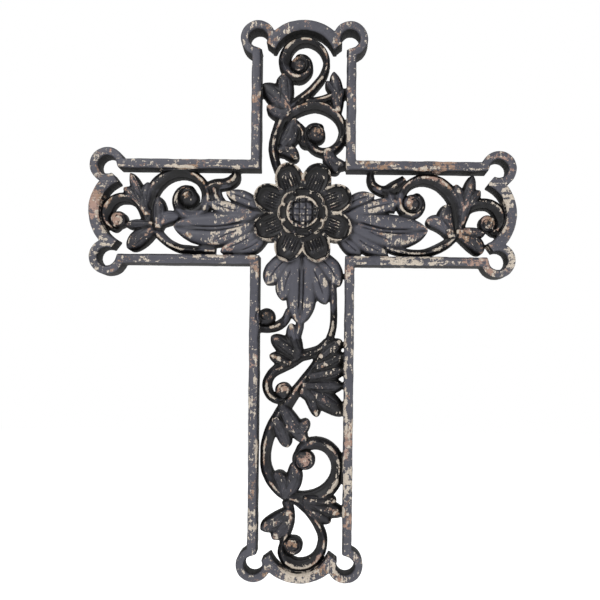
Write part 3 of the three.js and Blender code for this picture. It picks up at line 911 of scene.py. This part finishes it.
def carveFlower(depth, x, z):
    r = np.hypot(x, z)
    inside = flower["button"] - flower["buttonRing"]
    depth += flower["sink"] * ramp(inside - r, flower["softEdge"])
    lines = int(2 * inside / flower["pitch"])
    cut = np.zeros(len(x))
    for i in range(lines):
        at = (i - (lines - 1) / 2) * flower["pitch"]
        for across in (x, z):
            cut = np.maximum(cut, np.exp(-((across - at) / flower["grooveHalf"]) ** 4))
    depth += flower["grooveDepth"] * cut * ramp(inside - flower["grooveEnd"] - r, flower["softEdge"])
    aside = r * np.sin(petalAngle(x, z))
    fluted = ramp(r - flower["fluteFrom"], 3) * ramp(flower["fluteTo"] - r, 4)
    fluted *= ramp(flower["fluteHalf"] - abs(aside), 2)
    flutes = 0.5 - 0.5 * np.cos(2 * math.pi * aside / flower["flutePitch"])
    depth += flower["fluteDepth"] * fluted * flutes


def fineCarve(piece):
    points, normals = readPoints(piece)
    x, y, z = points.T
    frontness = ramp(-normals[:, 1] - 0.25, 0.5)
    depth = np.zeros(len(x))
    carveLeaves(depth, x, z)
    carveKnobs(depth, x, z)
    carveFlower(depth, x, z)
    wave = softNoise(x, z, skin["longWave"], 1) - 0.5 + 0.5 * (softNoise(x, z, skin["shortWave"], 2) - 0.5)
    wavy = (y <= -1) & (np.hypot(x, z) > skin["calmRadius"])
    points += normals * (wave * 2 * skin["waviness"] * wavy)[:, None]
    points[:, 1] += depth * frontness
    points[:, 1][points[:, 1] > -skin["planed"]] = 0  # the back is flat
    points[:, 2] -= board["mountHeight"]
    writePoints(piece, points)
    print("fine carving cut")


def keepInBox(piece):
    # nothing stands out of the board
    hair = 0.002
    points, _ = readPoints(piece)
    writePoints(piece, np.clip(points, np.array(cadLow) / mm + hair, np.array(cadHigh) / mm - hair))


fineCarve(cross)


# Wear maps: where a hand rubs the paint off, and the hollows, which keep their paint and get painted shade

def blurred(field, pitch, sigma):
    rows, columns = field.shape
    fz = np.fft.fftfreq(rows, pitch)[:, None]
    fx = np.fft.rfftfreq(columns, pitch)[None, :]
    kept = np.exp(-2 * (math.pi * sigma) ** 2 * (fz ** 2 + fx ** 2))
    return np.fft.irfft2(np.fft.rfft2(field) * kept, s=field.shape)


class ReliefMap:
    # height of the front over the back on a grid, and how it stands above its surroundings
    def __init__(self, points):
        margin, fullShare = 12, 0.62
        self.pitch = 0.8
        self.low = points.min(0) - margin
        size = ((points.max(0) + margin - self.low) / self.pitch).astype(int) + 1
        self.height = np.zeros((size[2], size[0]))
        column = ((points[:, 0] - self.low[0]) / self.pitch + 0.5).astype(int)
        row = ((points[:, 2] - self.low[2]) / self.pitch + 0.5).astype(int)
        np.maximum.at(self.height, (row, column), -points[:, 1])
        self.solid = (self.height > 3).astype(float)
        for _ in range(2):  # fills the cells that no point fell in
            around = blurred(self.solid, self.pitch, self.pitch)
            hole = (self.solid < 0.5) & (around > fullShare)
            level = blurred(self.height, self.pitch, self.pitch) / np.maximum(around, 0.1)
            self.height[hole] = level[hole]
            self.solid[hole] = 1

    def standsAbove(self, sigma):
        mean = blurred(self.height * self.solid, self.pitch, sigma)
        share = blurred(self.solid, self.pitch, sigma)
        return (self.height - mean / np.maximum(share, 0.05)) * self.solid

    def openNear(self, sigma):
        return 1 - blurred(self.solid, self.pitch, sigma)

    def at(self, field, x, z):
        u = (x - self.low[0]) / self.pitch
        v = (z - self.low[2]) / self.pitch
        i, j = np.floor(u).astype(int), np.floor(v).astype(int)
        fu, fv = u - i, v - j
        top = field[j, i] * (1 - fu) + field[j, i + 1] * fu
        bottom = field[j + 1, i] * (1 - fu) + field[j + 1, i + 1] * fu
        return top * (1 - fv) + bottom * fv


def onFrame(x, z):
    # 1 on the moulding and 0 in the window that it surrounds, z from the flower's centre
    slack = 0.8
    top, side, foot = board["topReach"], board["sideReach"], board["footReach"]
    half, cusp = windowHalf - slack, board["cuspInset"] + slack
    inside = (abs(x) < half) & (z < top - cusp) & (z > cusp - foot)
    inside |= (abs(z) < half) & (abs(x) < side - cusp)
    for quarters, reach in enumerate((top, side, foot, side)):
        bx, bz = turned((0, reach - board["crestWidth"] - board["crestBore"]), quarters)
        inside |= np.hypot(x - bx, z - bz) < board["crestBore"] - slack
    return (~inside).astype(float)


# places rubbed bare or chipped to the cream, in millimetres from the flower's centre: x, z, radius,
# how much
rubbed = {
    # how much more often the moulding and the flower are chipped than the carving round them
    "frameFlecks": 0.2, "flowerFlecks": 0.26, "waffleRadius": 11,
    "bare": [
        (90, 52, 16, 0.5), (150, 52, 22, 0.7), (118, 52, 12, 0.5), (68, 54, 10, 0.5),
        (195, -52, 24, 0.5), (215, 60, 16, 0.4), (226, -20, 18, 0.4), (-222, 10, 20, 0.7),
        (-215, 52, 14, 0.5), (-190, -60, 18, 0.5), (-120, 52, 24, 0.3), (-54, -60, 10, 0.6),
        (52, -60, 10, 0.5), (-52, -160, 14, 0.35), (54, -240, 20, 0.5), (52, -330, 20, 0.5),
        (30, -392, 22, 0.6), (-30, -390, 20, 0.5), (-52, -300, 18, 0.4), (40, 190, 18, 0.4),
        (-40, 190, 18, 0.5), (-54, 120, 20, 0.4), (54, 130, 20, 0.3), (0, 200, 16, 0.3),
        (176, -20, 12, 0.5), (98, -22, 12, 0.35), (-88, -42, 9, 0.5), (-68, -10, 10, 0.3),
        (40, -300, 12, 0.4), (-30, -180, 10, 0.3),
    ],
    "cream": [
        (110, -54, 30, 0.6), (150, -54, 26, 0.5), (222, -50, 18, 0.7), (226, 20, 20, 0.5),
        (210, 44, 14, 0.4), (96, -22, 12, 0.6), (78, 2, 12, 0.5), (-84, 10, 14, 0.7),
        (-70, -22, 14, 0.6), (-96, -24, 10, 0.5), (-30, -78, 12, 0.6), (24, -72, 10, 0.5),
        (0, -96, 10, 0.4), (54, -150, 30, 0.4), (54, -230, 26, 0.5), (52, -290, 26, 0.6),
        (-52, -210, 26, 0.4), (-52, -340, 22, 0.5), (0, -394, 20, 0.7), (40, -384, 16, 0.6),
        (-216, -40, 18, 0.5), (-170, -54, 16, 0.5), (-206, 46, 12, 0.4), (-54, 80, 18, 0.4),
        (54, 90, 16, 0.4), (38, -130, 12, 0.3), (34, -150, 10, 0.4), (-20, 196, 14, 0.3),
    ],
}


def patchField(x, z, patches):
    field = np.zeros(len(x))
    for px, pz, radius, amount in patches:
        field = np.maximum(field, amount * np.exp(-((x - px) ** 2 + (z - pz) ** 2) / radius ** 2))
    return field


def inPetals(x, z):
    form = flower["outer"]
    angle, r = petalAngle(x, z), np.hypot(x, z)
    share = (r * np.cos(angle) - form["from"]) / (form["reach"] - form["from"])
    ts = np.linspace(0, 1, 60)
    halfWidth = form["halfWidth"] * np.interp(share, ts, [bladeShare(t, flower["outline"]) for t in ts])
    return (r < 20) | ((share < 1) & (abs(r * np.sin(angle)) < halfWidth))


def storeMap(piece, name, values):
    field = piece.data.attributes.new(name, "FLOAT", "POINT")
    field.data.foreach_set("value", values.astype(np.float32))


# how dark (by the paint's tone, and by painted shade in the hollows) or rubbed each place is: how far round
# it is compared, the rise over its surroundings that counts as fully worn, the depths under them that count
# as hollow and take painted shade, and the paint's tones
maps = {
    "fineReach": 2.0, "broadReach": 5.0, "edgeReach": 1.6, "wornRise": 1.3,
    "hollowDepth": 1.2, "sunkDepth": 3,
    "scrollTone": 0.1, "frameTone": 0.85, "petalTone": 0.06, "waffleTone": 0.7, "bareKnob": 0.55,
}


def shadeOf(x, z, moulding, petals, waffle):
    shade = maps["scrollTone"] + (maps["frameTone"] - maps["scrollTone"]) * moulding
    for fan in leaves:
        tone = leaf[fan["form"]]["tone"]
        for blade in fan["blades"]:
            near, gap, _ = nearLine(x, z, bladeLine(blade)[0], blade[3])
            inside = gap < blade[3] * 0.98
            shade[near[inside]] = np.maximum(shade[near[inside]], tone)
    shade[petals] = maps["petalTone"]
    shade[waffle] = maps["waffleTone"]
    return shade


def paintMaps(piece, relief):
    points, _ = readPoints(piece)
    x, z = points[:, 0], points[:, 2] + board["mountHeight"]
    proud = relief.at(relief.standsAbove(maps["fineReach"]), x, points[:, 2])
    sunk = relief.at(relief.standsAbove(maps["broadReach"]), x, points[:, 2])
    rim = relief.at(relief.openNear(maps["edgeReach"]), x, points[:, 2])
    moulding = onFrame(x, z)
    petals, waffle = inPetals(x, z), np.hypot(x, z) < rubbed["waffleRadius"]
    knobs = []
    for stem in stems:
        if "knob" in stem:
            cx, cz = spot(stem["knob"]["at"])
            knobs.append((cx - 2, cz + 3, stem["knob"]["radius"] * 0.7, maps["bareKnob"]))
    flecked = np.maximum(rubbed["frameFlecks"] * moulding, rubbed["flowerFlecks"] * (petals | waffle))
    storeMap(piece, "wear", ramp(proud, maps["wornRise"]) * 0.75 + ramp(rim - 0.12, 0.4) * 0.45)
    storeMap(piece, "level", moulding * (np.abs(z) < 60) * (np.abs(x) > 45))  # rails that lie level
    # the hollow map: how far each place lies below its surroundings; the material darkens it as painted
    # shade and spares its paint from rubbing
    hollowAndShade = ramp(-proud, maps["hollowDepth"]) * 0.7 + ramp(-sunk, maps["sunkDepth"]) * 0.5
    storeMap(piece, "hollowAndShade", np.clip(hollowAndShade, 0, 1))
    storeMap(piece, "shade", shadeOf(x, z, moulding, petals, waffle))
    storeMap(piece, "bare", np.maximum(patchField(x, z, rubbed["bare"]), patchField(x, z, knobs)))
    storeMap(piece, "cream", np.maximum(patchField(x, z, rubbed["cream"]), flecked))


def keepLargest(piece):
    # leaves out the tiny closed hollows inside the wood that the skin has where forms overlap
    name = piece.name
    pickOnly(piece)
    bpy.ops.object.mode_set(mode="EDIT")
    bpy.ops.mesh.select_all(action="SELECT")
    bpy.ops.mesh.dissolve_degenerate(threshold=0.002 * mm)
    bpy.ops.mesh.separate(type="LOOSE")
    bpy.ops.object.mode_set(mode="OBJECT")
    parts = sorted(bpy.context.selected_objects, key=lambda part: len(part.data.vertices))
    for part in parts[:-1]:
        bpy.data.objects.remove(part, do_unlink=True)
    parts[-1].name = name
    return parts[-1]


relief = ReliefMap(readPoints(cross)[0])
triangleCount = sum(len(face.vertices) - 2 for face in cross.data.polygons)
applyModifier(cross, "DECIMATE", decimate_type="COLLAPSE", ratio=skin["triangles"] / triangleCount)
cross = keepLargest(cross)
keepInBox(cross)
paintMaps(cross, relief)
pickOnly(cross)
bpy.ops.object.shade_smooth_by_angle(angle=math.radians(skin["creaseAngle"]))
print("carving finished:", len(cross.data.polygons), "faces")


# Material

# colours from dark to light, and the sums of wear at which wood or cream begins and fully shows
finish = {
    # the recess and wall colours are painted shade, laid near black in the hollows and on the side walls
    "paint": ("#0f0e10", "#4b4b53"), "recessShade": "#0a0909", "wall": "#0e0d0d",
    "wood": ("#5f4836", "#ad9078"), "woodPatch": "#9c8176", "cream": ("#8d7f6f", "#d8cfc2"),
    "back": ("#3a2e24", "#6b5644"), "paintSpread": (0.85, 1.9),
    "woodShows": (1.72, 1.82), "creamShows": (2.36, 2.41), "grainStretch": 0.11,
}


def makeRubbedPaint():
    # hand-carved hardwood, cream ground under charcoal chalk paint, rubbed back and waxed: dark satin
    # faces painted a little lighter where they look out, painted shade laid near black in the recesses and
    # on the side walls, sharp cream chips and softer tan patches where the wood shows
    material = bpy.data.materials.new("rubbedPaintOnHardwood")
    material.use_nodes = True
    tree = material.node_tree
    tree.nodes.clear()
    stretched = finish["grainStretch"]
    place = addNode(tree, "TexCoord", output="Object")
    longGrain = addNode(tree, "Mapping", {"Vector": place, "Scale": (1, 1, stretched)})
    acrossGrain = addNode(tree, "Mapping", {"Vector": place, "Scale": (stretched, 1, 1)})

    def noise(size, detail, where=place, roughness=0.6):
        return addNode(tree, "TexNoise", {
            "Vector": where, "Scale": 1 / (size * mm), "Detail": detail, "Roughness": roughness,
        })

    def field(name):
        return addNode(tree, "Attribute", output="Fac", attribute_name=name)

    def sums(*terms):
        # adds value x weight, each pair in turn
        total = 0
        for value, weight in terms:
            total = addNode(tree, "Math", {0: value, 1: weight, 2: total}, operation="MULTIPLY_ADD")
        return total

    def between(value, low, high):
        return addNode(tree, "MapRange", {"Value": value, "From Min": low, "From Max": high},
                       interpolation_type="SMOOTHSTEP")

    def mix(share, first, second):
        return addNode(tree, "Mix", {0: share, 6: first, 7: second}, output=2, data_type="RGBA")

    # which way the surface looks: 1 out of the carving, 0 on its walls, -1 on the back
    outward = addNode(tree, "TexCoord", output="Normal")
    facing = addNode(tree, "VectorMath", {0: outward, 1: (0, -1, 0)}, output="Value",
                     operation="DOT_PRODUCT")
    front = between(facing, 0.1, 0.6)
    back = between(facing, -0.5, -0.8)

    # the hollow map brings painted shade into the recesses below, and keeps the rubbing out of them
    wear, hollowAndShade, shade = field("wear"), field("hollowAndShade"), field("shade")
    bare, cream = field("bare"), field("cream")
    broad, chips, specks = noise(30, 3), noise(5.5, 6, roughness=0.72), noise(1.6, 3)
    alongRail = mix(field("level"), longGrain, acrossGrain)
    streaks = noise(1.3, 4, alongRail)
    flakes = noise(5.2, 5, roughness=0.66)
    rubbing = noise(2.6, 4, alongRail)
    patchy = between(noise(16, 4), 0.4, 0.6)
    worn = addNode(tree, "Math", {0: wear, 1: patchy}, operation="MULTIPLY")

    rubs = sums((worn, 0.75), (bare, 0.5), (chips, 1.5), (broad, 0.5), (streaks, 0.35),
                (hollowAndShade, -0.6), (front, 0.3))
    bareMask = between(rubs, *finish["woodShows"])
    chipSum = sums((worn, 0.8), (cream, 0.66), (flakes, 1.7), (rubbing, 1.2), (specks, 0.5),
                   (hollowAndShade, -0.6), (front, 0.3))
    creamMask = between(chipSum, *finish["creamShows"])

    def tones(share, name):
        dark, light = finish[name]
        return mix(share, paintTone(dark), paintTone(light))

    wood = mix(between(broad, 0.4, 0.65), tones(streaks, "wood"), paintTone(finish["woodPatch"]))
    # painted light and shade in the paint's tone: faces that look out are made lighter and the hollows
    # darker, over the brushed variation of the paint
    brushedLitAndShaded = sums((shade, 0.85), (broad, 0.8), (chips, 0.9), (front, 0.2), (hollowAndShade, -0.5))
    paint = tones(between(brushedLitAndShaded, *finish["paintSpread"]), "paint")
    # painted shade: the hollows are darkened towards the near-black recess colour
    paint = mix(sums((hollowAndShade, 0.7)), paint, paintTone(finish["recessShade"]))
    # painted shade: the side walls, which look away from the front, take the near-black wall colour in
    # place of the paint
    paint = mix(front, paintTone(finish["wall"]), paint)
    colour = mix(bareMask, paint, wood)
    colour = mix(creamMask, colour, tones(specks, "cream"))
    colour = mix(back, colour, tones(streaks, "back"))

    lost = addNode(tree, "Math", {0: bareMask, 1: creamMask}, operation="MAXIMUM")
    roughness = sums((1.0, 0.72), (front, -0.34), (lost, 0.3), (chips, 0.2))
    film = sums((lost, -0.5), (streaks, 0.35), (specks, 0.2))
    bump = addNode(tree, "Bump", {"Height": film, "Strength": 0.55, "Distance": 0.35 * mm})
    coat = addNode(tree, "BsdfPrincipled", {
        "Base Color": colour, "Roughness": roughness, "Normal": bump,
        "IOR": 1.48, "Specular IOR Level": 0.35,
    })
    addNode(tree, "OutputMaterial", {"Surface": coat})
    return material


def makeStudioFloor():
    # matt seamless paper: an even pale sheet with no shine
    material = bpy.data.materials.new("matWhitePaper")
    material.use_nodes = True
    sheet = material.node_tree.nodes["Principled BSDF"]
    sheet.inputs["Base Color"].default_value = paintTone("#fafafa")
    sheet.inputs["Roughness"].default_value = 0.95
    sheet.inputs["Emission Color"].default_value = (1, 1, 1, 1)
    sheet.inputs["Emission Strength"].default_value = studio["floorGlow"]
    return material


cross.data.materials.clear()
cross.data.materials.append(makeRubbedPaint())
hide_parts("carved_cross")
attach(cross, "root")

deselectAll()
bpy.ops.mesh.primitive_plane_add(size=8, location=(0, 0, cadLow.z - studio["floorDrop"]))
floor = bpy.context.object
floor.name = "floor"
finishPlace(floor)
floor.data.materials.append(makeStudioFloor())
print("materials set")
